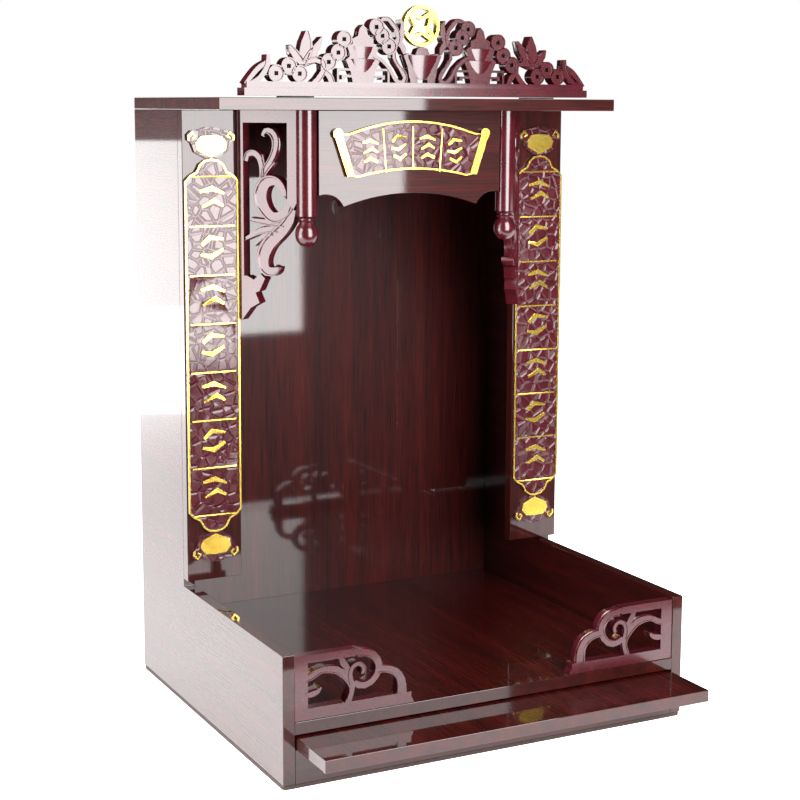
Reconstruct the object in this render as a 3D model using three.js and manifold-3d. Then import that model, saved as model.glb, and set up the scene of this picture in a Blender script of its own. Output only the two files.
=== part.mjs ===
// A household altar cabinet: an open-fronted case of laminated board that stands on the floor,
// dressed with moulded openwork. Millimetres, +Z up, the front faces -Y, and the origin is the
// centre of the underside.
import * as THREE from 'three';
import { mergeVertices } from 'three/addons/utils/BufferGeometryUtils.js';
import Module from 'manifold-3d';

const wasm = await Module();
wasm.setup();

// ---------------------------------------------------------------- driving dimensions
const gap = 0.3;              // air left between pieces that touch
const board = 13;             // thickness of the laminated boards
const thinBoard = 5;          // thickness of the back panel
const caseWidth = 480;        // over the outer faces of the side panels
const caseDepth = 424;        // front edge of the low walls to the back
const baseSheet = 4;          // thin sheet under the whole case
const lowWallTop = 137.5;     // top of the low side walls
const lowWallLength = 280;    // from the front back to the uprights
const floorTop = 68;          // top face of the floor board
const shelfTop = 53;          // top face of the pull-out shelf
const shelfDepth = 330;       // front to back
const shelfDrawn = 70;        // how far the shelf stands out of the case as built
const shelfPlay = 1;          // air at each side of the shelf
const topBoardUnder = 667;    // underside of the top board
const topBoardDepth = 269;    // measured from the back
const pilasterWidth = 64;
const pilasterFoot = 146.3;   // height of the pilasters' lower ends
const fasciaFront = 193.5;    // fascia front face, measured back from the case front
const columnAcross = 123.5;   // hanging columns, measured out from the middle
const columnBack = 200;       // hanging columns, measured back from the case front
const crestBack = 174;        // middle of the crest, measured back from the case front

// Places that follow from them.
const front = -caseDepth / 2;
const back = caseDepth / 2;
const halfCase = caseWidth / 2;
const innerHalf = halfCase - board;
const uprightFront = front + lowWallLength;
const pilasterFront = uprightFront - gap - board;
const backPanelFront = back - thinBoard;
const topBoardTop = topBoardUnder + board;

// ---------------------------------------------------------------- materials
const material = (color, roughness, metalness = 0) =>
  new THREE.MeshStandardMaterial({ color, roughness, metalness });
const laminate = material(0x4a1414, 0.15);
const plastic = material(0x5a1923, 0.3);
const foam = material(0x161414, 0.8);
const gold = material(0xd9a92a, 0.3, 0.8);
const bareBoard = material(0x3b2119, 0.6);

const cabinet = new THREE.Group();

// ---------------------------------------------------------------- helpers
// Closed solid of a three.js geometry.
function solidOf(geometry) {
  const plain = geometry.clone();
  plain.deleteAttribute('normal');
  plain.deleteAttribute('uv');
  const merged = mergeVertices(plain, 1e-4);
  return new wasm.Manifold(new wasm.Mesh({
    numProp: 3,
    vertProperties: new Float32Array(merged.attributes.position.array),
    triVerts: new Uint32Array(merged.index.array),
  }));
}

// The surface of a solid, cleared of slivers thinner than two hundredths of a millimetre.
function geometryOf(solid) {
  const mesh = solid.simplify(0.02).getMesh();
  const geometry = new THREE.BufferGeometry();
  geometry.setAttribute('position', new THREE.BufferAttribute(mesh.vertProperties, 3));
  geometry.setIndex(new THREE.BufferAttribute(mesh.triVerts, 1));
  geometry.computeVertexNormals();
  return geometry;
}

function add(name, geometry, finish, parent = cabinet) {
  const mesh = new THREE.Mesh(geometry, finish);
  mesh.name = name;
  parent.add(mesh);
  return mesh;
}

// A box between two corners.
function boxBetween(low, high) {
  const size = high.map((value, i) => value - low[i]);
  const geometry = new THREE.BoxGeometry(...size);
  return geometry.translate(...low.map((value, i) => value + size[i] / 2));
}

// A flat shape given depth, from z = low up to z = low + depth.
function slab(shape, depth, low = 0, curveSegments = 10) {
  const geometry = new THREE.ExtrudeGeometry(shape, { depth, bevelEnabled: false, curveSegments });
  return geometry.translate(0, 0, low);
}

const shapeOf = (points) => new THREE.Shape(points.map(([x, y]) => new THREE.Vector2(x, y)));

// Outline of a band that follows a smooth centre line. Each stop is [x, y, width].
function band(stops, steps = 2 * (stops.length - 1)) {
  const line = new THREE.CatmullRomCurve3(stops.map(([x, y, w]) => new THREE.Vector3(x, y, w)));
  const left = [];
  const right = [];
  for (let i = 0; i <= steps; i += 1) {
    const t = i / steps;
    const at = line.getPoint(t);
    const along = line.getTangent(t).setZ(0).normalize();
    left.push([at.x - along.y * at.z / 2, at.y + along.x * at.z / 2]);
    right.push([at.x + along.y * at.z / 2, at.y - along.x * at.z / 2]);
  }
  return shapeOf([...left, ...right.reverse()]);
}

function disc(x, y, radius, segments = 16) {
  const points = [];
  for (let i = 0; i < segments; i += 1) {
    const angle = 2 * Math.PI * i / segments;
    points.push([x + radius * Math.cos(angle), y + radius * Math.sin(angle)]);
  }
  return shapeOf(points);
}

const ringOf = (x, y, outer, inner, segments = 16) => {
  const shape = disc(x, y, outer, segments);
  shape.holes.push(disc(x, y, inner, segments));
  return shape;
};

const rectangle = (x0, y0, x1, y1) => shapeOf([[x0, y0], [x1, y0], [x1, y1], [x0, y1]]);

const mirrored = (shape) => shapeOf(shape.getPoints().map(({ x, y }) => [-x, y]).reverse());

const union = (solids) => wasm.Manifold.union(solids);

// Turns a relief modelled lying in XY, face up, so that it stands and faces -Y.
function standing(mesh, x, y, z, turn = 0) {
  mesh.rotation.set(Math.PI / 2, turn, 0, 'ZYX');
  mesh.position.set(x, y, z);
  return mesh;
}

// ---------------------------------------------------------------- the case
const sheetCorner = 4;
{
  const shape = new THREE.Shape();
  const [x, y, r] = [halfCase, caseDepth / 2, sheetCorner];
  shape.moveTo(-x + r, -y).lineTo(x - r, -y).absarc(x - r, -y + r, r, -Math.PI / 2, 0);
  shape.lineTo(x, y - r).absarc(x - r, y - r, r, 0, Math.PI / 2);
  shape.lineTo(-x + r, y).absarc(-x + r, y - r, r, Math.PI / 2, Math.PI);
  shape.lineTo(-x, -y + r).absarc(-x + r, -y + r, r, Math.PI, 1.5 * Math.PI);
  add('bottom_panel', slab(shape, baseSheet, 0, 4), bareBoard);
}

// The side panels are L-shaped: drawn in YZ and given their thickness across the case.
const sideOutline = shapeOf([
  [front, baseSheet + gap], [back, baseSheet + gap], [back, topBoardUnder - gap],
  [uprightFront, topBoardUnder - gap], [uprightFront, lowWallTop], [front, lowWallTop],
]);
for (const [name, inner] of [['side_panel_left', -innerHalf], ['side_panel_right', halfCase]]) {
  const panel = slab(sideOutline, board);
  panel.rotateX(Math.PI / 2).rotateZ(Math.PI / 2);
  add(name, panel, laminate).position.x = inner - board;
}

const between = innerHalf - gap;
const runnerSize = 12;
const runnerTop = shelfTop - board - gap;
const runnerFront = front + board + gap;
const shelfFront = front - shelfDrawn;
add('back_panel', boxBetween(
  [-between, backPanelFront, baseSheet + gap], [between, back, topBoardUnder - gap]), laminate);
add('floor_board', boxBetween(
  [-between, front, floorTop - board], [between, backPanelFront - gap, floorTop]), laminate);
add('front_rail', boxBetween(
  [-between, front, baseSheet + gap], [between, front + board, runnerTop]), laminate);
add('pull_out_shelf', boxBetween(
  [shelfPlay - innerHalf, shelfFront, shelfTop - board],
  [innerHalf - shelfPlay, shelfFront + shelfDepth, shelfTop]), laminate);
add('top_board', boxBetween(
  [-halfCase, back - topBoardDepth, topBoardUnder], [halfCase, back, topBoardTop]), laminate);
for (const [side, sign] of [['left', -1], ['right', 1]]) {
  const runner = [sign * between, sign * (between - runnerSize)];
  add(`shelf_runner_${side}`, boxBetween(
    [Math.min(...runner), runnerFront, runnerTop - runnerSize],
    [Math.max(...runner), backPanelFront - gap, runnerTop]), bareBoard);
  const post = [sign * halfCase, sign * (halfCase - pilasterWidth)];
  add(`pilaster_${side}`, boxBetween(
    [Math.min(...post), pilasterFront, pilasterFoot],
    [Math.max(...post), pilasterFront + board, topBoardUnder - gap]), laminate);
}

// ---------------------------------------------------------------- corner brackets
// Drawn in (u, w): u runs from the pilaster's inner edge towards the column, w down from the
// top board. Each stop is [u, w, width].
const columnRadius = 11.3;
const columnLength = 113;
const plateThickness = 14;
const scrollThickness = 12;
const pilasterEdge = halfCase - pilasterWidth;
const reach = Math.hypot(pilasterEdge - columnAcross, pilasterFront - (front + columnBack));
const bracketTurn = Math.atan2(front + columnBack - pilasterFront, pilasterEdge - columnAcross);
const bracketRoot = -9;       // the plate starts behind the pilaster's edge and is cut to fit it
const bracketFace = 0.6;       // how far past the pilaster's edge the plate is cut off
const bracketBars = [
  rectangle(bracketRoot, gap, 10.8, 184),
  rectangle(bracketRoot, gap, reach, 13.6),
  rectangle(65, gap, reach, 100),
];
const bracketTail = shapeOf([
  [bracketRoot, 180], [15, 180], [23, 184], [31, 177], [37, 182], [30, 196],
  [25, 198], [30, 209], [19, 215], [8, 229], [bracketRoot, 229],
]);
const bracketScrolls = [
  [[61, 92, 4], [58, 82, 7], [50, 76, 9], [40, 77, 11], [33, 85, 14], [31, 96, 16], [37, 108, 13],
    [47, 115, 10], [59, 112, 10], [68, 103, 10], [74, 90, 10]],
  [[71, 106, 8], [67, 117, 11], [60, 126, 13], [53, 133, 14], [41, 143, 16], [34, 156, 16], [34, 167, 14],
    [39, 174, 11], [48, 174, 9], [53, 171, 5]],
  [[35, 74, 5], [38, 63, 5], [45, 53, 5], [50, 42, 5], [51, 31, 5], [46, 23, 5], [38, 22, 5],
    [35, 28, 4]],
  [[33, 74, 5], [33, 62, 5], [30, 51, 6], [23, 46, 6], [16, 48, 5], [14, 55, 4]],
  [[33, 70, 3], [35, 58, 4], [34, 48, 2]],
  [[35, 71, 3], [41, 63, 4], [49, 56, 2]],
  [[58, 123, 8], [42, 121, 6], [20, 119, 4]],
  [[50, 128, 7], [32, 130, 6], [13, 139, 3]],
  [[44, 132, 6], [33, 137, 5], [25, 145, 2]],
];
// Rings and ball under the column: [radius, w] from the top down.
const finialProfile = [
  [0, columnLength - 2], [8, columnLength - 2], [8, 113], [10.5, 114.5], [8, 116], [8, 117],
  [10.5, 118.5], [7.5, 120.5], [11, 125], [12.5, 130], [12.5, 135], [11, 140], [7, 144.5],
  [0, 146.5],
];
const bracketPlate = (() => {
  const flat = [...bracketBars, bracketTail].map((shape) => solidOf(slab(shape, plateThickness,
    -plateThickness / 2)));
  const curved = bracketScrolls.map((stops) => solidOf(slab(band(stops), scrollThickness,
    -scrollThickness / 2)));
  return union([...flat, ...curved]);
})();

function lathe(profile, segments) {
  const points = profile.map(([radius, height]) => new THREE.Vector2(radius, height));
  return new THREE.LatheGeometry(points, segments);
}

function bracket(sign) {
  const shaft = solidOf(new THREE.CylinderGeometry(columnRadius, columnRadius,
    columnLength - gap, 16).translate(reach, (columnLength + gap) / 2, 0));
  const finial = solidOf(lathe(finialProfile, 16).translate(reach, 0, 0));
  const whole = union([bracketPlate, shaft, finial]);
  // (u, w, thickness) to the cabinet: w points down and u runs inwards and forwards.
  const c = Math.cos(bracketTurn);
  const s = Math.sin(bracketTurn);
  const placed = whole.transform([
    c, s, 0, 0,
    0, 0, -1, 0,
    -s, c, 0, 0,
    -pilasterEdge, pilasterFront, topBoardUnder, 1,
  ]);
  const post = solidOf(boxBetween(
    [-halfCase, pilasterFront - gap, 0],
    [-pilasterEdge + gap, uprightFront + board, caseWidth * 2]));
  const face = solidOf(boxBetween(
    [-halfCase, front, 0], [-pilasterEdge - bracketFace, back, caseWidth * 2]));
  const fitted = placed.subtract(post).subtract(face);
  return sign < 0 ? fitted : fitted.mirror([1, 0, 0]);
}
add('corner_bracket_left', geometryOf(bracket(-1)), plastic);
add('corner_bracket_right', geometryOf(bracket(1)), plastic);

// ---------------------------------------------------------------- fascia
// A board with a wide shallow arch between two small rounded ones, hung between the columns.
const fasciaHalf = columnAcross - columnRadius - gap;
const cusp = { x: 82.5, z: 563.2 };
const archCrown = 577;
const sideArchX = 104;
{
  const rise = archCrown - cusp.z;
  const radius = (cusp.x ** 2 + rise ** 2) / (2 * rise);
  const sideRadius = ((sideArchX - cusp.x) ** 2 + rise ** 2) / (2 * rise);
  const sideCentre = archCrown - sideRadius;
  const sideEnd = Math.acos((fasciaHalf - sideArchX) / sideRadius);
  const toCusp = Math.atan2(cusp.z - sideCentre, cusp.x - sideArchX);
  const spread = Math.asin(cusp.x / radius);
  const shape = new THREE.Shape();
  shape.moveTo(-fasciaHalf, topBoardUnder - gap);
  shape.absarc(-sideArchX, sideCentre, sideRadius, Math.PI - sideEnd, Math.PI - toCusp, true);
  shape.absarc(0, archCrown - radius, radius, Math.PI / 2 + spread, Math.PI / 2 - spread, true);
  shape.absarc(sideArchX, sideCentre, sideRadius, toCusp, sideEnd, true);
  shape.lineTo(fasciaHalf, topBoardUnder - gap);
  standing(add('fascia_board', slab(shape, board, 0, 12), laminate),
    0, front + fasciaFront + board, 0);
}

// ---------------------------------------------------------------- frets on the floor's front
// Drawn in (u, v): u runs inwards from the low wall, v up from the floor board.
const fretThickness = 12;
const fretInset = 1;
const fretBands = [
  [[69, 60, 7], [76, 61, 7], [85, 58, 8], [91, 51, 8], [93, 44, 8], [90, 35, 7], [82, 28, 7],
    [73, 27, 7], [65, 31, 6]],
  [[93, 41, 7], [102, 40, 7], [111, 36, 8], [117, 29, 9], [119, 20, 10], [119, 10, 11],
    [119, 4, 11]],
  [[12, 42, 6], [20, 45, 6], [28, 49, 6], [38, 49, 7], [48, 46, 8], [56, 39, 8], [61, 32, 7],
    [63, 24, 6], [60, 16, 6], [58, 8, 8]],
  [[63, 30, 6], [61, 40, 4], [64, 48, 4], [71, 50, 4], [76, 45, 4], [75, 39, 4]],
  [[12, 26, 5], [18, 26, 6], [25, 28, 5], [29, 32, 2]],
];
const fretBars = [
  rectangle(gap, gap, 130, 12),
  rectangle(gap, gap, 14.5, 66.5),
  rectangle(gap, 58.5, 67, 66.5),
  shapeOf([[118, gap], [133, gap], [131, 5], [125, 11], [118, 11]]),
  shapeOf([[48, 60], [53, 60], [62, 46], [60, 40], [50, 52]]),
];
const fretBead = [69.5, 62.5, 3.4];
const fret = union([
  ...fretBands.map((stops) => solidOf(slab(band(stops, stops.length + 2), fretThickness))),
  ...fretBars.map((shape) => solidOf(slab(shape, fretThickness))),
  solidOf(slab(disc(...fretBead, 10), fretThickness)),
]);
const fretBack = front + fretInset + fretThickness;
standing(add('fret_left', geometryOf(fret), plastic), -innerHalf, fretBack, floorTop);
standing(add('fret_right', geometryOf(fret.mirror([1, 0, 0])), plastic),
  innerHalf, fretBack, floorTop);

// ---------------------------------------------------------------- reliefs shared by the plaques
// A raised line that follows a closed outline: the outline with a smaller copy cut out of it.
function rim(points, width) {
  const count = points.length;
  const inner = points.map(([x, y], i) => {
    const [ax, ay] = points[(i + count - 1) % count];
    const [bx, by] = points[(i + 1) % count];
    const length = Math.hypot(bx - ax, by - ay);
    return [x - width * (by - ay) / length, y + width * (bx - ax) / length];
  });
  const shape = shapeOf(points);
  shape.holes.push(shapeOf(inner));
  return shape;
}

// Abstract brush strokes for a cell, [x, y, width] stops in a unit cell. They form no letter.
const strokeSets = [
  [[[-0.5, 0.5, 0.1], [0, 0.62, 0.2], [0.5, 0.42, 0.08]],
    [[-0.42, -0.1, 0.08], [0.1, 0.16, 0.2], [0.46, -0.06, 0.1]],
    [[-0.4, -0.62, 0.1], [0, -0.4, 0.2], [0.48, -0.6, 0.16]]],
  [[[-0.44, 0.34, 0.14], [-0.1, 0.64, 0.2], [0.46, 0.56, 0.08]],
    [[-0.5, -0.02, 0.1], [-0.05, -0.12, 0.2], [0.44, 0.16, 0.12]],
    [[-0.36, -0.46, 0.14], [0.08, -0.66, 0.2], [0.46, -0.36, 0.1]]],
];

function strokes(set, x, y, size, rows = 3) {
  return strokeSets[set % strokeSets.length].slice(0, rows).map((stops) => band(
    stops.map(([sx, sy, w]) => [x + sx * size, y + sy * size, w * size]), 2));
}

const curl = (x, y, sign, size) => band([
  [x + sign * size * 0.9, y - size, 2.2], [x + sign * size, y, 2.4], [x, y + size, 2.4],
  [x - sign * size * 0.8, y, 2.2], [x, y - size * 0.5, 1.6]], 4);

// ---------------------------------------------------------------- long plaques
// Heights run from the foot of the pilaster. The lower half mirrors the upper one.
const plaqueThickness = 3.2;
const reliefHeight = 1.3;
const plaqueHalf = 31;
const plaqueMiddle = 407.5;
const bodyApex = 207;         // the body's tip above the middle
const shoulder = 183;         // top of the straight sides above the middle
const ingotTip = 239;         // top of the ingot ornament above the middle
const cellCount = 7;
const cellsTop = 187.5;
const rimWidth = 2;
const dividerHalf = 26;
const bodyQuarter = [
  [plaqueHalf, 0], [plaqueHalf, shoulder], [25, 189.5], [18, 193], [14, 201], [8, 205.5],
  [0, bodyApex],
];
const bodyOutline = [
  ...bodyQuarter, ...bodyQuarter.slice(1, -1).reverse().map(([x, y]) => [-x, y]),
  ...bodyQuarter.slice(0, -1).map(([x, y]) => [-x, -y]),
  ...bodyQuarter.slice(1).reverse().map(([x, y]) => [x, -y]),
];
const ingotOutline = [
  [0, 204], [8, 208], [19, 214], [22.5, 223], [27, 228], [27.5, 233], [23, 237.5], [15, 238],
  [5, 241],
];
const ingotHalf = (points) => shapeOf([...points, ...points.slice(1).reverse()
  .map(([x, y]) => [-x, y])]);
const ingotBowl = [[0, 208.5], [16, 216], [18, 224], [12, 231], [0, 232]];

function endOrnament() {
  const relief = [
    ingotHalf(ingotBowl),
    curl(21.5, 231, 1, 4.4), curl(-21.5, 231, -1, 4.4),
  ];
  return union([
    solidOf(slab(ingotHalf(ingotOutline), plaqueThickness)),
    ...relief.map((shape) => solidOf(slab(shape, plaqueThickness + reliefHeight))),
  ]);
}

const plaque = (() => {
  const cell = 2 * cellsTop / cellCount;
  const relief = [rim(bodyOutline, rimWidth)];
  const carved = [];
  for (let i = 0; i < cellCount; i += 1) {
    const y = cellsTop - (i + 0.5) * cell;
    carved.push(rectangle(-dividerHalf, y + cell / 2 - 0.8, dividerHalf, y + cell / 2 + 0.8));
    relief.push(...strokes(i, 0, y - 3, 28, 2));
  }
  carved.push(rectangle(-dividerHalf, -cellsTop - 0.8, dividerHalf, -cellsTop + 0.8));
  const end = endOrnament();
  return union([
    solidOf(slab(shapeOf(bodyOutline), plaqueThickness)),
    ...relief.map((shape) => solidOf(slab(shape, plaqueThickness + reliefHeight))),
    ...carved.map((shape) => solidOf(slab(shape, plaqueThickness + reliefHeight / 2))),
    end, end.rotate([0, 0, 180]),
  ]);
})();
for (const [side, sign] of [['left', -1], ['right', 1]]) {
  standing(add(`plaque_${side}`, geometryOf(plaque), plastic),
    sign * (halfCase - pilasterWidth / 2), pilasterFront - gap, plaqueMiddle);
}

// ---------------------------------------------------------------- fan plaque
const fanTop = { half: 77, edge: 642.5, crown: 656 };
const fanFoot = { half: 67, edge: 595, crown: 603 };
const fanMiddle = 625;
const fanCells = 4;
const rodRadius = 5;
const rodTop = [91, 642];
const rodFoot = [76, 597];

// Points of the arc that runs from -half to half and rises from edge to crown.
function archPoints({ half, edge, crown }, steps) {
  const rise = crown - edge;
  const radius = (half ** 2 + rise ** 2) / (2 * rise);
  const points = [];
  for (let i = 0; i <= steps; i += 1) {
    const x = half * (2 * i / steps - 1);
    points.push([x, crown - radius + Math.sqrt(radius ** 2 - x ** 2)]);
  }
  return points;
}

{
  const upper = archPoints(fanTop, 10);
  const lower = archPoints(fanFoot, 10);
  const outline = [...lower, [rodFoot[0], rodFoot[1]], [rodTop[0] - 2, rodTop[1] - 1],
    ...upper.reverse(), [2 - rodTop[0], rodTop[1] - 1], [-rodFoot[0], rodFoot[1]]];
  const relief = [rim(outline, 1.8)];
  for (const sign of [-1, 1]) {
    relief.push(band([[sign * rodTop[0], rodTop[1], 9], [sign * rodFoot[0], rodFoot[1], 8]], 1));
    relief.push(disc(sign * rodTop[0], rodTop[1], rodRadius + 0.8, 10));
      }
  const carved = [];
  for (let i = 0; i < fanCells; i += 1) {
    const across = (i + 0.5) * 2 / fanCells - 1;
    const x = across * 70;
    const z = fanMiddle + 2.5 - 8 * across ** 2;
    relief.push(...strokes(i, x, z, 19));
    if (i > 0) {
      const edge = (x - 70 / fanCells) * 1.02;
      carved.push(band([[edge * 1.03, 650 - edge ** 2 / 450, 1.2],
        [edge * 0.93, 602 - edge ** 2 / 560, 1.2]], 1));
    }
  }
  const fan = union([
    solidOf(slab(shapeOf(outline), plaqueThickness)),
    ...relief.map((shape) => solidOf(slab(shape, plaqueThickness + reliefHeight))),
    ...carved.map((shape) => solidOf(slab(shape, plaqueThickness + reliefHeight / 2))),
  ]);
  standing(add('fan_plaque', geometryOf(fan), plastic), 0, front + fasciaFront - gap, 0);
}

// ---------------------------------------------------------------- crest
// Openwork on a stepped bar. The right half is drawn in (x, z) and mirrored.
const crestBar = { half: 208.5, low: 682, high: 690, depth: 20 };
const crestStep = { half: 205, high: 696.5, depth: 15 };
const openworkDepth = 12;
const crestCoin = { radius: 8.8, hole: 2.2 };
const coinPlaces = [
  [171.3, 705], [157, 712.6], [144.8, 704.8], [111.5, 717.4], [100.4, 727.3], [93.5, 741.4],
  [55.6, 754.9], [48.5, 745.7], [40.6, 734.8],
];
const crestBands = [
  [[206, 694, 4], [197, 704, 5], [190, 711, 5], [182, 716, 5]],
  [[200, 695, 4], [190, 700, 5], [181, 712, 6], [180, 724, 4]],
  [[140, 716, 6], [128, 728, 10], [119, 743, 2]],
  [[141, 716, 8], [137, 732, 15], [136, 749, 3]],
  [[142, 716, 6], [150, 725, 9], [155.5, 734, 2]],
  [[146, 724, 3], [140, 716, 7], [122, 720, 5], [117, 711, 5], [123, 700, 6], [129, 695, 5]],
  [[118, 708, 4], [111, 703, 6], [108, 695, 6]],
  [[50, 763, 3], [41, 763, 4], [31, 751, 4], [30, 741, 4], [35, 731, 4], [33, 718, 4],
    [23, 707, 4], [22, 698, 5], [28, 696, 5], [34, 701, 4], [40, 711, 4], [49, 720, 4],
    [59, 725, 4]],
  [[33, 735, 3], [26, 745, 7], [24, 757, 5], [27, 763, 2]],
  [[22, 727, 3], [25, 736, 7], [33, 742, 3]],
];
const stackedIngots = [
  [11.9, 695], [14, 706], [20, 720], [15, 724], [18, 733], [12, 737], [12.5, 742], [6, 745],
  [4, 753], [0, 757],
];
const stackPlace = 71.5;
const middleIngot = [
  [8, 700.5], [16, 701], [18, 713], [23, 725.3], [18, 728], [9, 726], [6, 733], [0, 735],
];
const middleFoot = rectangle(6, 695, 15, 702);
const keyFretLine = 2.4;
const keyFrets = [40, 84];
const keyFretSize = 18;

function keyFret(x, flip) {
  const at = (value) => (flip ? x + keyFretSize - value : x + value);
  const bar = (u0, v0, u1, v1) => rectangle(
    Math.min(at(u0), at(u1)), crestStep.high + v0, Math.max(at(u0), at(u1)), crestStep.high + v1);
  const line = keyFretLine;
  return [
    bar(0, -0.5, line, 14.6), bar(0, 14.6 - line, keyFretSize, 14.6),
    bar(line + 3.2, 7.6 - line, keyFretSize, 7.6), bar(line + 3.2, 3, line + 3.2 + line, 7.6),
    bar(line + 3.2, 3, 9.4, 3 + line),
  ];
}

// The gilt coin in the middle of the crest, which gets a seat cut for it.
const coinCentre = 757.4;
const coinRadius = 22;
const coinRing = 3.6;

const symmetric = (points) => shapeOf([...points, ...points.slice(0, -1).reverse()
  .map(([x, y]) => [-x, y])]);

const crest = (() => {
  const place = ([x, z]) => {
    const coin = disc(x, z, crestCoin.radius, 10);
    const [a, b] = [crestCoin.hole, -crestCoin.hole];
    coin.holes.push(shapeOf([[x + b, z + b], [x + a, z + b], [x + a, z + a], [x + b, z + a]]));
    return coin;
  };
  const open = (shape) => solidOf(slab(shape, openworkDepth, -openworkDepth / 2));
  const stack = symmetric(stackedIngots);
  const right = union([
    ...coinPlaces.map(place).map(open),
    ...crestBands.map((stops) => open(band(stops, stops.length))),
    open(stack).translate([stackPlace, 0, 0]),
    ...keyFrets.flatMap((x, i) => keyFret(x, i === 1)).map(open),
    open(middleFoot),
  ]);
  const step = (bar, low) => solidOf(slab(
    rectangle(-bar.half, low, bar.half, bar.high), bar.depth, -bar.depth / 2));
  return union([
    right, right.mirror([1, 0, 0]), open(symmetric(middleIngot)),
    step(crestBar, crestBar.low), step(crestStep, crestBar.high - 1),
  ]).subtract(solidOf(slab(disc(0, coinCentre, coinRadius + gap, 32),
    crestBar.depth, -crestBar.depth / 2)));
})();
standing(add('crest', geometryOf(crest), plastic), 0, front + crestBack, 0);

// The gilt coin: a ring with a concave-sided square inside it.
{
  const waist = 8;            // middle of the square's sides from the centre
  const line = 1.5;           // half the width of the square's lines
  const spread = 0.57;        // half the angle that one opening takes beside the square
  const depth = 8;
  const coin = disc(0, 0, coinRadius, 32);
  const square = [];
  for (let quarter = 0; quarter < 4; quarter += 1) {
    const middle = quarter * Math.PI / 2;
    const polar = (radius, angle) => [radius * Math.cos(angle), radius * Math.sin(angle)];
    const opening = [polar(waist + line, middle)];
    for (let i = -2; i <= 2; i += 1) {
      opening.push(polar(coinRadius - coinRing, middle + i * spread / 2));
    }
    coin.holes.push(shapeOf(opening));
    square.push(polar(waist - line, middle), polar(13, middle + Math.PI / 4));
  }
  coin.holes.push(shapeOf(square));
  standing(add('crest_coin', slab(coin, depth, -depth / 2), gold),
    0, front + crestBack, coinCentre);
}

// Pads between the crest's bar and the top board.
const padFrom = 130;
const padTo = 165;
for (const [side, x] of [['left', -padTo], ['right', padFrom]]) {
  add(`crest_pad_${side}`, boxBetween(
    [x, front + crestBack - 9, topBoardTop + gap],
    [x + padTo - padFrom, front + crestBack + 9, crestBar.low - gap]), foam);
}

export default cabinet;
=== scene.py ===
import math

import bmesh
import bpy
from mathutils import Matrix, Vector


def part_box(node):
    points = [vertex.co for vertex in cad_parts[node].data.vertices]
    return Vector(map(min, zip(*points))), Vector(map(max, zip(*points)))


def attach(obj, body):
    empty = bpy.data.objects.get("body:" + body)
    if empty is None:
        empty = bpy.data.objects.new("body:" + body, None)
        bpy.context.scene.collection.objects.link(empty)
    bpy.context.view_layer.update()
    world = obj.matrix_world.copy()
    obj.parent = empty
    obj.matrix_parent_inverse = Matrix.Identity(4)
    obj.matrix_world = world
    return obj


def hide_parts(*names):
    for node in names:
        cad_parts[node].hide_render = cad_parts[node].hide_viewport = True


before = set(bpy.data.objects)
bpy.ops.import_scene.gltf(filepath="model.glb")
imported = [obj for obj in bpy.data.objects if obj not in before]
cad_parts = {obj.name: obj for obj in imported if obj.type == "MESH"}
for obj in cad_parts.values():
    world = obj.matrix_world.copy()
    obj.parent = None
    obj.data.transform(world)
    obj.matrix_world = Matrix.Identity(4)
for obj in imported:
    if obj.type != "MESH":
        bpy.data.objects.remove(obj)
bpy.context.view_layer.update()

# Camera, table top and lamps. A white table is lit by a large soft box at the right front, a strip
# at the left, a low white screen behind on the left and a soft box overhead. The room is dark, but
# what the camera sees past the table is white.
camera = bpy.data.objects.new("camera", bpy.data.cameras.new("camera"))
bpy.context.collection.objects.link(camera)
camera.data.sensor_width = 36
camera.data.lens = 77.66
camera.data.shift_x = -0.0125
camera.data.shift_y = -0.05625
yaw, pitch, roll = math.radians(27.384), math.radians(8.238), -0.00445
camera.matrix_world = (Matrix.Translation((-0.8799, -1.7158, 0.6728))
                       @ Matrix.Rotation(-yaw, 4, "Z")
                       @ Matrix.Rotation(math.pi / 2 - pitch, 4, "X")
                       @ Matrix.Rotation(-roll, 4, "Z"))
bpy.context.scene.camera = camera
bpy.context.scene.view_settings.view_transform = "Standard"

world = bpy.data.worlds.new("studio")
bpy.context.scene.world = world
world.use_nodes = True
backdrop = world.node_tree.nodes["Background"]
ray = world.node_tree.nodes.new("ShaderNodeLightPath")
shown = world.node_tree.nodes.new("ShaderNodeMapRange")
shown.inputs["To Min"].default_value = 0.02
shown.inputs["To Max"].default_value = 1.0
world.node_tree.links.new(ray.outputs["Is Camera Ray"], shown.inputs["Value"])
world.node_tree.links.new(shown.outputs["Result"], backdrop.inputs["Strength"])
backdrop.inputs["Color"].default_value = (1, 1, 1, 1)

table = bmesh.new()
bmesh.ops.create_grid(table, x_segments=1, y_segments=1, size=1,
                      matrix=Matrix.Translation((-0.5, 1.6, 0)) @ Matrix.Diagonal((3.2, 2.15, 1, 1)))
table_mesh = bpy.data.meshes.new("table_top")
table.to_mesh(table_mesh)
table_top = bpy.data.objects.new("table_top", table_mesh)
bpy.context.collection.objects.link(table_top)
table_paint = bpy.data.materials.new("table_paint")
table_paint.use_nodes = True
paint = table_paint.node_tree.nodes["Principled BSDF"]
paint.inputs["Base Color"].default_value = (0.8, 0.8, 0.8, 1)
paint.inputs["Roughness"].default_value = 0.9
paint.inputs["Specular IOR Level"].default_value = 0.0
paint.inputs["Emission Color"].default_value = (1, 0.985, 0.99, 1)
paint.inputs["Emission Strength"].default_value = 1.7
table_mesh.materials.append(table_paint)


def lamp(name, place, aim, width, height, radiance):
    """A rectangular soft box of even radiance that the camera itself doesn't see."""
    data = bpy.data.lights.new(name, "AREA")
    data.shape = "RECTANGLE"
    data.size, data.size_y = width, height
    data.energy = radiance * math.pi * width * height
    made = bpy.data.objects.new(name, data)
    bpy.context.collection.objects.link(made)
    made.location = place
    made.rotation_euler = (Vector(aim) - Vector(place)).to_track_quat("-Z", "Y").to_euler()
    made.visible_camera = False


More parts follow.
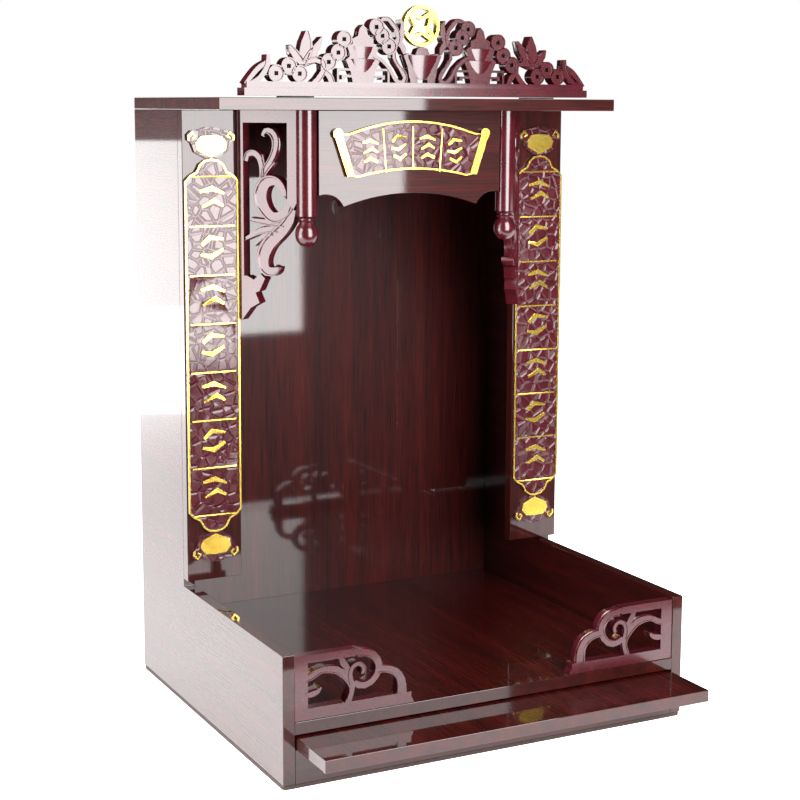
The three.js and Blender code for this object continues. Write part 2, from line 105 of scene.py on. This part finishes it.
lamp("front_box", (0.16, -1.05, 0.86), (0.16, 0, 0.86), 0.72, 1.28, 13)
lamp("left_strip", (-1.35, -0.02, 0.75), (-0.2, -0.05, 0.75), 0.75, 1.5, 9)
lamp("low_screen", (-1.05, 1.75, 0.12), (-0.3, 0.1, 0.12), 2.2, 0.95, 4.0)
lamp("overhead", (0.1, 0.3, 2.2), (0, 0, 0.4), 1.6, 1.2, 3.0)

# Laminated boards: chipboard with a glossy rosewood film pressed on every face. The film's pores
# and streaks run along each board, and the lacquer over it shows a faint orange peel.
MM = 0.001
EASE = 0.0005                 # how far the boards' arrises are eased
X_AXIS, Y_AXIS, Z_AXIS = 0, 1, 2


def node(tree, kind, **inputs):
    made = tree.nodes.new("ShaderNode" + kind)
    for name, value in inputs.items():
        made.inputs[name.replace("_", " ")].default_value = value
    return made


def stretched_noise(tree, place, stretch, scale, detail):
    mapping = node(tree, "Mapping", Scale=stretch)
    noise = node(tree, "TexNoise", Scale=scale, Detail=detail, Roughness=0.6)
    tree.links.new(place, mapping.inputs["Vector"])
    tree.links.new(mapping.outputs["Vector"], noise.inputs["Vector"])
    return noise.outputs["Fac"]


def ramp(tree, source, *stops):
    made = tree.nodes.new("ShaderNodeValToRGB")
    points = made.color_ramp.elements
    while len(points) < len(stops):
        points.new(0.5)
    for point, (position, colour) in zip(points, stops):
        point.position = position
        point.color = (*colour, 1)
    tree.links.new(source, made.inputs["Fac"])
    return made.outputs["Color"]


def mixed(tree, mode, amount, a, b):
    made = tree.nodes.new("ShaderNodeMix")
    made.data_type = "RGBA"
    made.blend_type = mode
    made.inputs["Factor"].default_value = amount
    tree.links.new(a, made.inputs["A"])
    tree.links.new(b, made.inputs["B"])
    return made.outputs["Result"]


def bumped(tree, source, height, strength):
    made = node(tree, "Bump", Strength=strength, Distance=height)
    tree.links.new(source, made.inputs["Height"])
    return made.outputs["Normal"]


def rosewood(name, grain):
    made = bpy.data.materials.new(name)
    made.use_nodes = True
    tree = made.node_tree
    skin = tree.nodes["Principled BSDF"]
    place = tree.nodes.new("ShaderNodeTexCoord").outputs["Object"]
    fine = [900.0, 900.0, 900.0]
    fine[grain] = 22.0
    broad = [70.0, 70.0, 70.0]
    broad[grain] = 2.6
    pores = stretched_noise(tree, place, fine, 1.0, 3.0)
    bands = stretched_noise(tree, place, broad, 1.0, 5.0)
    pore_colour = ramp(tree, pores, (0.34, (0.35, 0.33, 0.33)), (0.5, (0.8, 0.8, 0.8)),
                       (0.66, (1.15, 1.15, 1.15)))
    band_colour = ramp(tree, bands, (0.3, (0.022, 0.0016, 0.0013)), (0.5, (0.038, 0.003, 0.0022)),
                       (0.72, (0.06, 0.0048, 0.0032)))
    tree.links.new(mixed(tree, "MULTIPLY", 1.0, band_colour, pore_colour), skin.inputs["Base Color"])
    peel = stretched_noise(tree, place, (1, 1, 1), 620.0, 2.0)
    tree.links.new(bumped(tree, peel, 0.00002, 0.35), skin.inputs["Coat Normal"])
    skin.inputs["Roughness"].default_value = 0.45
    skin.inputs["Specular IOR Level"].default_value = 0.12
    skin.inputs["Coat Weight"].default_value = 1.0
    skin.inputs["Coat Roughness"].default_value = 0.035
    return made


rosewood_along = {X_AXIS: rosewood("rosewood_across", X_AXIS),
                  Y_AXIS: rosewood("rosewood_deep", Y_AXIS),
                  Z_AXIS: rosewood("rosewood_upright", Z_AXIS)}


def finished(name, mesh_maker, material, *, body="case", stands_for=(), smooth=True):
    """Turns a bmesh in metres into a piece that rides on a body."""
    mesh = bpy.data.meshes.new(name)
    bmesh.ops.recalc_face_normals(mesh_maker, faces=mesh_maker.faces)
    mesh_maker.to_mesh(mesh)
    mesh_maker.free()
    made = bpy.data.objects.new(name, mesh)
    bpy.context.collection.objects.link(made)
    mesh.materials.append(material)
    if smooth:
        mesh.polygons.foreach_set("use_smooth", [True] * len(mesh.polygons))
        mesh.set_sharp_from_angle(angle=math.radians(32))
    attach(made, body)
    if stands_for:
        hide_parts(*stands_for)
    return made


def eased_box(low, high):
    """A board between two corners, its arrises eased."""
    made = bmesh.new()
    size = [b - a for a, b in zip(low, high)]
    middle = [(a + b) / 2 for a, b in zip(low, high)]
    bmesh.ops.create_cube(made, size=1,
                          matrix=Matrix.Translation(middle) @ Matrix.Diagonal((*size, 1)))
    bmesh.ops.bevel(made, geom=made.edges[:], offset=EASE, segments=2, profile=0.5,
                    affect="EDGES", material=-1)
    return made


JOINT = 0.0003                # closes the hairline where boards meet
for board_name, grain in (("back_panel", Z_AXIS), ("floor_board", Y_AXIS), ("front_rail", X_AXIS),
                          ("top_board", X_AXIS), ("pilaster_left", Z_AXIS),
                          ("pilaster_right", Z_AXIS)):
    low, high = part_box(board_name)
    if board_name in ("back_panel", "floor_board"):
        low, high = (low[0] - JOINT, low[1], low[2]), (high[0] + JOINT, high[1], high[2])
    if board_name == "floor_board" or board_name.startswith("pilaster"):
        high = (high[0], high[1] + JOINT, high[2])
    finished(board_name + "_film", eased_box(low, high), rosewood_along[grain],
             stands_for=[board_name], smooth=False)

# The pull-out shelf, a board in the slot under the floor, drawn forward.
finished("shelf_film", eased_box(*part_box("pull_out_shelf")), rosewood_along[Y_AXIS],
         body="shelf", stands_for=["pull_out_shelf"], smooth=False)

# Side panels: L-shaped boards, a tall upright behind and a low wall in front.
LOW_WALL_TOP, LOW_WALL_LENGTH = 0.1375, 0.280


def flat_solid(made, points, depth, place, ease):
    """A closed outline given depth along its normal, set in place by a matrix."""
    corners = [made.verts.new(place @ Vector((x, y, 0))) for x, y in points]
    face = made.faces.new(corners)
    grown = bmesh.ops.extrude_face_region(made, geom=[face])["geom"]
    fresh = [g for g in grown if isinstance(g, bmesh.types.BMVert)]
    bmesh.ops.translate(made, verts=fresh, vec=place.to_3x3() @ Vector((0, 0, depth)))
    edges = {e for v in corners + fresh for e in v.link_edges}
    bmesh.ops.bevel(made, geom=list(edges), offset=ease, segments=2, profile=0.5,
                    affect="EDGES", material=-1)


for side in ("side_panel_left", "side_panel_right"):
    low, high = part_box(side)
    step = low[1] + LOW_WALL_LENGTH
    outline = [(low[1], low[2]), (high[1], low[2]), (high[1], high[2]), (step, high[2]),
               (step, LOW_WALL_TOP), (low[1], LOW_WALL_TOP)]
    panel = bmesh.new()
    upright = Matrix(((0, 0, 1, low[0]), (1, 0, 0, 0), (0, 1, 0, 0), (0, 0, 0, 1)))
    flat_solid(panel, outline, high[0] - low[0], upright, EASE)
    finished(side + "_film", panel, rosewood_along[Y_AXIS], stands_for=[side], smooth=False)

# Bare boards: the thin sheet under the case and the battens that carry the shelf.
bare = bpy.data.materials.new("bare_board")
bare.use_nodes = True
bare_tree = bare.node_tree
bare_place = bare_tree.nodes.new("ShaderNodeTexCoord").outputs["Object"]
fibres = stretched_noise(bare_tree, bare_place, (1, 1, 1), 420.0, 4.0)
bare_tree.links.new(ramp(bare_tree, fibres, (0.35, (0.02, 0.008, 0.006)), (0.7, (0.06, 0.022, 0.016))),
                    bare_tree.nodes["Principled BSDF"].inputs["Base Color"])
bare_tree.links.new(bumped(bare_tree, fibres, 0.0003, 0.5),
                    bare_tree.nodes["Principled BSDF"].inputs["Normal"])
bare_tree.nodes["Principled BSDF"].inputs["Roughness"].default_value = 0.6
for plain in ("bottom_panel", "shelf_runner_left", "shelf_runner_right"):
    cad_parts[plain].data.materials.clear()
    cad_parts[plain].data.materials.append(bare)

# The fascia: a board cut with a wide shallow arch between two small round ones.
BOARD_THICKNESS = 13
FASCIA_EASE = 0.0004
FASCIA_HALF, FASCIA_TOP = 111.9, 666.7
CUSP_X, CUSP_Z, ARCH_CROWN, SIDE_ARCH_X = 82.5, 563.2, 577.0, 104.0


def arc_points(centre, radius, start, end, steps):
    return [(centre[0] + radius * math.cos(start + (end - start) * i / steps),
             centre[1] + radius * math.sin(start + (end - start) * i / steps))
            for i in range(steps + 1)]


rise = ARCH_CROWN - CUSP_Z
arch_radius = (CUSP_X ** 2 + rise ** 2) / (2 * rise)
side_radius = ((SIDE_ARCH_X - CUSP_X) ** 2 + rise ** 2) / (2 * rise)
side_centre = ARCH_CROWN - side_radius
side_end = math.acos((FASCIA_HALF - SIDE_ARCH_X) / side_radius)
to_cusp = math.atan2(CUSP_Z - side_centre, CUSP_X - SIDE_ARCH_X)
spread = math.asin(CUSP_X / arch_radius)
right_arch = arc_points((SIDE_ARCH_X, side_centre), side_radius, to_cusp, side_end, 16)
main_arch = arc_points((0, ARCH_CROWN - arch_radius), arch_radius,
                       math.pi / 2 + spread, math.pi / 2 - spread, 40)
left_arch = [(-x, z) for x, z in reversed(right_arch)]
fascia_outline = [(-FASCIA_HALF, FASCIA_TOP)] + left_arch[:-1] + main_arch + right_arch[1:] + [
    (FASCIA_HALF, FASCIA_TOP)]
fascia = bmesh.new()
fascia_low, fascia_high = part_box("fascia_board")
facing = Matrix(((MM, 0, 0, 0), (0, 0, -MM, fascia_high[1]), (0, MM, 0, 0), (0, 0, 0, 1)))
flat_solid(fascia, fascia_outline, BOARD_THICKNESS, facing, FASCIA_EASE)
finished("fascia_film", fascia, rosewood_along[X_AXIS], stands_for=["fascia_board"],
         smooth=False)

# Moulded ornaments in maroon plastic: openwork brackets with their hanging columns, the frets on
# the floor's front, the crest and the plaques. Their arrises are softened as a moulding's are.
GOLD_DEPTH = 0.0008           # relief this close to the front is painted gold
SHARP = math.radians(38)      # arrises sharper than this are rounded


def moulding(name, gilt_before=None):
    """Maroon plastic. Relief that stands in front of gilt_before (in Y) is painted gold."""
    made = bpy.data.materials.new(name)
    made.use_nodes = True
    tree = made.node_tree
    skin = tree.nodes["Principled BSDF"]
    place = tree.nodes.new("ShaderNodeTexCoord").outputs["Object"]
    cloud = stretched_noise(tree, place, (1, 1, 1), 55.0, 4.0)
    skin.inputs["Roughness"].default_value = 0.24
    skin.inputs["Coat Weight"].default_value = 0.6
    skin.inputs["Coat Roughness"].default_value = 0.1
    plastic = ramp(tree, cloud, (0.3, (0.045, 0.0036, 0.007)), (0.7, (0.07, 0.006, 0.011)))
    grain = stretched_noise(tree, place, (1, 1, 1), 480.0, 3.0)
    if gilt_before is None:
        tree.links.new(bumped(tree, grain, 0.00006, 0.5), skin.inputs["Normal"])
        tree.links.new(plastic, skin.inputs["Base Color"])
        return made
    leaves = node(tree, "TexVoronoi", Scale=82.0)
    leaves.feature = "DISTANCE_TO_EDGE"
    tree.links.new(place, leaves.inputs["Vector"])
    relief = ramp(tree, leaves.outputs["Distance"], (0.02, (0, 0, 0)), (0.16, (1, 1, 1)))
    tree.links.new(bumped(tree, relief, 0.0012, 0.8), skin.inputs["Normal"])
    gold = tree.nodes.new("ShaderNodeBsdfPrincipled")
    gold.inputs["Metallic"].default_value = 0.9
    gold.inputs["Roughness"].default_value = 0.24
    shine = ramp(tree, cloud, (0.3, (0.86, 0.55, 0.07)), (0.7, (1.0, 0.76, 0.16)))
    tree.links.new(shine, gold.inputs["Base Color"])
    tree.links.new(bumped(tree, grain, 0.0002, 0.6), gold.inputs["Normal"])
    axes = tree.nodes.new("ShaderNodeSeparateXYZ")
    tree.links.new(place, axes.inputs["Vector"])
    front = node(tree, "Math")
    front.operation = "LESS_THAN"
    front.inputs[1].default_value = gilt_before
    tree.links.new(axes.outputs["Y"], front.inputs[0])
    share = tree.nodes.new("ShaderNodeMixShader")
    tree.links.new(front.outputs["Value"], share.inputs["Fac"])
    tree.links.new(skin.outputs["BSDF"], share.inputs[1])
    tree.links.new(gold.outputs["BSDF"], share.inputs[2])
    tree.links.new(share.outputs["Shader"], tree.nodes["Material Output"].inputs["Surface"])
    tree.links.new(plastic, skin.inputs["Base Color"])
    return made


def softened(node_name, material, width):
    """A copy of a moulded solid with merged corners, its arrises rounded."""
    copy = bmesh.new()
    copy.from_mesh(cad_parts[node_name].data)
    bmesh.ops.remove_doubles(copy, verts=copy.verts, dist=0.00001)
    bmesh.ops.dissolve_limit(copy, angle_limit=math.radians(1), verts=copy.verts, edges=copy.edges)
    made = finished(node_name + "_moulding", copy, material, stands_for=[node_name])
    rounding = made.modifiers.new("rounding", "BEVEL")
    rounding.width = width
    rounding.segments = 2
    rounding.limit_method = "ANGLE"
    rounding.angle_limit = SHARP
    rounding.use_clamp_overlap = True
    rounding.harden_normals = True
    return made


maroon = moulding("maroon_moulding")


def smooth_line(stops, steps):
    """Points of a smooth line through the stops, each (u, v, width)."""
    ends = [stops[0]] + list(stops) + [stops[-1]]
    line = []
    for a, b, c, d in zip(ends, ends[1:], ends[2:], ends[3:]):
        for i in range(steps):
            t = i / steps
            line.append([0.5 * (2 * q + (r - p) * t + (2 * p - 5 * q + 4 * r - s) * t * t
                                + (3 * q - p - 3 * r + s) * t ** 3)
                         for p, q, r, s in zip(a, b, c, d)])
    return line + [list(stops[-1])]


# Half of a scroll's cross-section: (across, height), a narrow ridge and a hollow beside it.
SCROLL = [(-1.0, 0.0), (-1.0, 0.86), (-0.9, 1.0), (-0.66, 1.0), (-0.56, 0.86), (-0.2, 0.56),
          (0.3, 0.44), (0.8, 0.5), (1.0, 0.4), (1.0, 0.0)]
SCROLL_STEPS = 5              # sections from one stop to the next


def carved_scroll(made, stops, ridge_side, height, place):
    """A carved scroll that follows the stops, extruded section by section."""
    section = SCROLL + [(a, -h) for a, h in reversed(SCROLL[1:-1])]
    line = smooth_line(stops, SCROLL_STEPS)
    face = None
    for i, (u, v, width) in enumerate(line):
        ahead, behind = line[min(i + 1, len(line) - 1)], line[max(i - 1, 0)]
        along = Vector((ahead[0] - behind[0], ahead[1] - behind[1])).normalized()
        ring = [place @ Vector((u - along.y * ridge_side * a * width / 2,
                                v + along.x * ridge_side * a * width / 2, h * height / 2))
                for a, h in section]
        if face is None:
            face = made.faces.new([made.verts.new(point) for point in ring])
            continue
        grown = bmesh.ops.extrude_face_region(made, geom=[face])["geom"]
        face = next(g for g in grown if isinstance(g, bmesh.types.BMFace)
                    and all(v in grown for v in g.verts))
        for vert, point in zip(face.verts, ring):
            vert.co = point


# The brackets' scrolls, (u, w, width): u from the pilaster's edge to the column, w downwards.
BRACKET_SCROLLS = [
    (-1, [(62, 95, 3), (61, 88, 6), (57, 81, 8), (50, 76, 10), (40, 76, 12), (33, 84, 15), (31, 96, 16),
          (37, 108, 13), (47, 116, 11), (59, 113, 10), (68, 103, 9)]),
    (-1, [(71, 104, 8), (67, 117, 12), (60, 126, 14), (50, 135, 15), (40, 146, 17), (35, 157, 17),
          (35, 168, 13), (41, 175, 9), (49, 173, 8), (52, 168, 6)]),
    (1, [(34, 76, 4), (38, 63, 6), (45, 53, 7), (50, 42, 8), (50, 31, 8), (45, 24, 7), (38, 22, 6),
         (35, 27, 4)]),
    (-1, [(33, 76, 4), (33, 62, 6), (30, 51, 7), (23, 46, 7), (16, 48, 6), (13, 55, 4)]),
    (1, [(33, 72, 3), (36, 60, 4), (34, 47, 2)]),
    (1, [(35, 73, 3), (42, 64, 4), (50, 55, 2)]),
    (1, [(60, 122, 7), (42, 121, 7), (19, 118, 5)]),
    (1, [(52, 128, 7), (32, 130, 8), (12, 140, 3)]),
    (1, [(46, 132, 6), (33, 137, 6), (24, 146, 3)]),
]
SCROLL_THICKNESS = 14.5       # in millimetres, a little more than the plate behind
column = Vector((-0.1235, -0.012))
root = Vector((-0.176, 0.0547))
run = (column - root).normalized()
for side, mirror in (("left", 1), ("right", -1)):
    scrolls = bmesh.new()
    bracket_place = Matrix(((run.x * MM, 0, run.y * MM, root.x), (run.y * MM, 0, -run.x * MM, root.y),
                            (0, -MM, 0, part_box("top_board")[0][2]), (0, 0, 0, 1)))
    for ridge_side, stops in BRACKET_SCROLLS:
        carved_scroll(scrolls, stops, ridge_side, SCROLL_THICKNESS, bracket_place)
    if mirror < 0:
        bmesh.ops.scale(scrolls, vec=(-1, 1, 1), verts=scrolls.verts)
    finished(f"bracket_scrolls_{side}", scrolls, maroon)
for node_name in ("corner_bracket_left", "corner_bracket_right", "fret_left", "fret_right", "crest"):
    softened(node_name, maroon, 0.0009)
for node_name in ("plaque_left", "plaque_right", "fan_plaque"):
    front_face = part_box(node_name)[0][1]
    softened(node_name, moulding(node_name + "_gilt", front_face + GOLD_DEPTH), 0.0003)

# Relief on the crest: ribbons, leaves and lotus petals with ridged edges, coins with raised rims,
# and boat-shaped ingots that swell out of the openwork. It is all one moulding with the crest.
CREST_SCROLLS = [
    (1, [(206, 694, 4), (197, 704, 6), (190, 711, 6), (182, 716, 5)]),
    (1, [(200, 695, 4), (190, 700, 6), (181, 712, 7), (180, 724, 5)]),
    (1, [(140, 716, 7), (128, 728, 11), (119, 743, 2)]),
    (-1, [(141, 716, 9), (137, 732, 15), (136, 749, 3)]),
    (-1, [(142, 716, 7), (150, 725, 10), (155.5, 734, 2)]),
    (1, [(146, 724, 3), (140, 716, 8), (122, 720, 6), (117, 711, 6), (123, 700, 7), (129, 696, 6)]),
    (1, [(118, 708, 5), (111, 703, 7), (108, 696, 7)]),
    (1, [(50, 763, 3), (41, 763, 5), (31, 751, 5), (30, 741, 5), (35, 731, 5), (33, 718, 5),
         (23, 707, 5), (22, 699, 6), (28, 697, 6), (34, 701, 5), (40, 711, 5), (49, 720, 5),
         (59, 725, 5)]),
]
COIN_PLACES = [(171.3, 705), (157, 712.6), (144.8, 704.8), (111.5, 717.4), (100.4, 727.3),
               (93.5, 741.4), (55.6, 754.9), (48.5, 745.7), (40.6, 734.8)]
COIN_RIM = [(9.0, -6), (9.0, -7.2), (7.6, -7.2), (7.2, -5.5), (7.2, 5.5), (7.6, 7.2), (9.0, 7.2),
            (9.0, 6)]
STACKED_INGOTS = [(0, 695.8), (11.9, 695.8), (14, 706), (19.5, 719), (20.3, 721), (15, 720.5),
                  (18, 732), (18.3, 734), (12, 733), (12.6, 741), (12.4, 743), (6, 743), (6.2, 748),
                  (4, 752.5), (2.5, 755), (0, 757)]
MIDDLE_INGOT = [(0, 700.8), (15, 700.8), (18, 711), (22.6, 723), (23, 726), (9, 724.5), (8.5, 729),
                (6, 733), (0, 734.6)]
INGOT_FLATNESS = 0.42
STACK_X = 71.5
CREST_THICKNESS = 14
crest_low, crest_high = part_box("crest")
crest_middle = (crest_low[1] + crest_high[1]) / 2
crest_place = Matrix(((MM, 0, 0, 0), (0, 0, -MM, crest_middle), (0, MM, 0, 0), (0, 0, 0, 1)))


def turned(made, profile, axis_x, flatness):
    """A profile of (radius, height) spun about a vertical line, then flattened in depth."""
    line = [made.verts.new((axis_x + r * MM, 0, z * MM)) for r, z in profile]
    edges = [made.edges.new(pair) for pair in zip(line, line[1:])]
    before = set(made.verts) - set(line)
    bmesh.ops.spin(made, geom=line + edges, cent=(axis_x, 0, 0), axis=(0, 0, 1), dvec=(0, 0, 0),
                   angle=2 * math.pi, steps=32, use_merge=True)
    fresh = [v for v in made.verts if v not in before]
    bmesh.ops.remove_doubles(made, verts=fresh, dist=0.00001)
    fresh = [v for v in made.verts if v not in before]
    bmesh.ops.scale(made, vec=(1, flatness, 1), verts=fresh)
    bmesh.ops.translate(made, vec=(0, crest_middle, 0), verts=fresh)


def coin_rim(made, x, z):
    """A raised ring on both faces of a coin."""
    ring = [made.verts.new((x + r * MM, crest_middle + y * MM, z)) for r, y in COIN_RIM]
    edges = [made.edges.new(pair) for pair in zip(ring, ring[1:] + ring[:1])]
    bmesh.ops.spin(made, geom=ring + edges, cent=(x, crest_middle, z), axis=(0, 1, 0),
                   dvec=(0, 0, 0), angle=2 * math.pi, steps=24, use_merge=True)


for side, mirror in (("right", 1), ("left", -1)):
    relief = bmesh.new()
    for ridge_side, stops in CREST_SCROLLS:
        carved_scroll(relief, stops, ridge_side, CREST_THICKNESS, crest_place)
    for x, z in COIN_PLACES:
        coin_rim(relief, x * MM, z * MM)
    turned(relief, STACKED_INGOTS, STACK_X * MM, INGOT_FLATNESS)
    if mirror < 0:
        bmesh.ops.scale(relief, vec=(-1, 1, 1), verts=relief.verts)
    finished(f"crest_relief_{side}", relief, maroon)
middle_ingot = bmesh.new()
turned(middle_ingot, MIDDLE_INGOT, 0, INGOT_FLATNESS)
finished("crest_middle_ingot", middle_ingot, maroon)

# Relief on the frets at the floor's front: ridged cloud scrolls over the openwork.
FRET_SCROLLS = [
    (1, [(69, 60, 7), (76, 61, 8), (85, 58, 9), (91, 51, 9), (93, 44, 9), (90, 35, 8), (82, 28, 8),
         (73, 27, 8), (65, 31, 7)]),
    (1, [(93, 41, 8), (102, 40, 8), (111, 36, 9), (117, 29, 10), (119, 20, 11), (119, 10, 12)]),
    (1, [(12, 42, 6), (20, 45, 7), (28, 49, 7), (38, 49, 8), (48, 46, 9), (56, 39, 9), (61, 32, 8),
         (63, 24, 7), (60, 14, 7)]),
    (-1, [(63, 30, 6), (61, 40, 5), (64, 48, 5), (71, 50, 5), (76, 45, 5), (75, 39, 5)]),
    (-1, [(12, 26, 5), (18, 26, 7), (25, 28, 6), (29, 32, 2)]),
]
FRET_THICKNESS = 13.6
FRET_LEFT_END, FRET_FOOT = -0.227, 0.068
fret_low, fret_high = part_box("fret_left")
fret_place = Matrix(((MM, 0, 0, FRET_LEFT_END), (0, 0, -MM, (fret_low[1] + fret_high[1]) / 2),
                     (0, MM, 0, FRET_FOOT), (0, 0, 0, 1)))
for side, mirror in (("left", 1), ("right", -1)):
    scrolls = bmesh.new()
    for ridge_side, stops in FRET_SCROLLS:
        carved_scroll(scrolls, stops, ridge_side, FRET_THICKNESS, fret_place)
    if mirror < 0:
        bmesh.ops.scale(scrolls, vec=(-1, 1, 1), verts=scrolls.verts)
    finished(f"fret_scrolls_{side}", scrolls, maroon)

# The coin in the crest, painted gold all over, and the foam pads under the crest's bar.
PAST_THE_BACK = 1.0           # everything stands in front of this, so everything is gold
softened("crest_coin", moulding("coin_gilt", PAST_THE_BACK), 0.0008)
foam = bpy.data.materials.new("foam")
foam.use_nodes = True
foam_tree = foam.node_tree
foam_place = foam_tree.nodes.new("ShaderNodeTexCoord").outputs["Object"]
pits = stretched_noise(foam_tree, foam_place, (1, 1, 1), 900.0, 3.0)
foam_skin = foam_tree.nodes["Principled BSDF"]
foam_tree.links.new(ramp(foam_tree, pits, (0.3, (0.004, 0.004, 0.004)), (0.7, (0.02, 0.02, 0.02))),
                    foam_skin.inputs["Base Color"])
foam_tree.links.new(bumped(foam_tree, pits, 0.0003, 0.6), foam_skin.inputs["Normal"])
foam_skin.inputs["Roughness"].default_value = 0.9
for pad in ("crest_pad_left", "crest_pad_right"):
    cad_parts[pad].data.materials.clear()
    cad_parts[pad].data.materials.append(foam)
